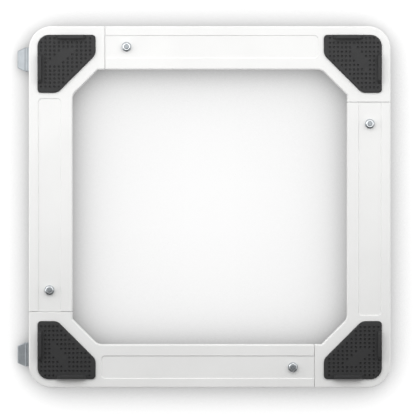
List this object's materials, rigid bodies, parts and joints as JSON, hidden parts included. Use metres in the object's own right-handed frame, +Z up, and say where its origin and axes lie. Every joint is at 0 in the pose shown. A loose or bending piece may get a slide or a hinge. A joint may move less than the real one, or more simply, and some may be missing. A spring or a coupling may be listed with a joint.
{
  "type": "appliance stacking frame",
  "caption": "Flat square frame of telescoping white plastic corner rails with rubber corner pads, clamp bolts and side tabs, for standing one appliance on another.",
  "frame": {"origin": "on the floor, below the middle of the closed frame's whole footprint, tabs included", "axes": "+Z up, +X to the right, away from the side with the tabs, +Y to the rear"},
  "size_m": [0.6194, 0.6, 0.049],
  "materials": {
    "white_plastic": "moulded, satin",
    "pad_rubber": "moulded, dimpled",
    "foot_rubber": "moulded",
    "zinc_steel": "bright zinc plated",
    "tab_steel": "satin nickel plated"
  },
  "bodies": {
    "rear_left": {"rear_left_rail": "white_plastic", "rear_left_pad": "pad_rubber", "rear_left_foot": "foot_rubber", "left_clamp_washer": "zinc_steel", "left_clamp_bolt": "zinc_steel", "rear_tab": "tab_steel", "rear_tab_screws": "zinc_steel"},
    "left_nut": {"left_clamp_nut": "zinc_steel"},
    "rear_right": {"rear_right_rail": "white_plastic", "rear_right_pad": "pad_rubber", "rear_right_foot": "foot_rubber", "rear_clamp_washer": "zinc_steel", "rear_clamp_bolt": "zinc_steel"},
    "rear_nut": {"rear_clamp_nut": "zinc_steel"},
    "front_right": {"front_right_rail": "white_plastic", "front_right_pad": "pad_rubber", "front_right_foot": "foot_rubber", "right_clamp_washer": "zinc_steel", "right_clamp_bolt": "zinc_steel"},
    "right_nut": {"right_clamp_nut": "zinc_steel"},
    "front_left": {"front_left_rail": "white_plastic", "front_left_pad": "pad_rubber", "front_left_foot": "foot_rubber", "front_clamp_washer": "zinc_steel", "front_clamp_bolt": "zinc_steel", "front_tab": "tab_steel", "front_tab_screws": "zinc_steel"},
    "front_nut": {"front_clamp_nut": "zinc_steel"}
  },
  "joints": [
    {"name": "rear_width_slide", "type": "slide", "parent": "rear_left", "child": "rear_right", "axis": [1, 0, 0], "range_m": [0, 0.05]},
    {"name": "left_depth_slide", "type": "slide", "parent": "rear_left", "child": "front_left", "axis": [0, -1, 0], "range_m": [0, 0.05]},
    {"name": "right_depth_slide", "type": "slide", "parent": "rear_right", "child": "front_right", "axis": [0, -1, 0], "range_m": [0, 0.05]},
    {"name": "left_nut_turn", "type": "hinge", "parent": "rear_left", "child": "left_nut", "pos_m": [-0.25595, -0.138, 0.0414], "axis": [0, 0, 1], "range_deg": [0, 360]},
    {"name": "rear_nut_turn", "type": "hinge", "parent": "rear_right", "child": "rear_nut", "pos_m": [-0.12825, 0.2657, 0.0414], "axis": [0, 0, 1], "range_deg": [0, 360]},
    {"name": "right_nut_turn", "type": "hinge", "parent": "front_right", "child": "right_nut", "pos_m": [0.27545, 0.138, 0.0414], "axis": [0, 0, 1], "range_deg": [0, 360]},
    {"name": "front_nut_turn", "type": "hinge", "parent": "front_left", "child": "front_nut", "pos_m": [0.14775, -0.2657, 0.0414], "axis": [0, 0, 1], "range_deg": [0, 360]}
  ],
  "couplings": [
    {"joint": "right_depth_slide", "follows": "left_depth_slide", "ratio": 1}
  ]
}
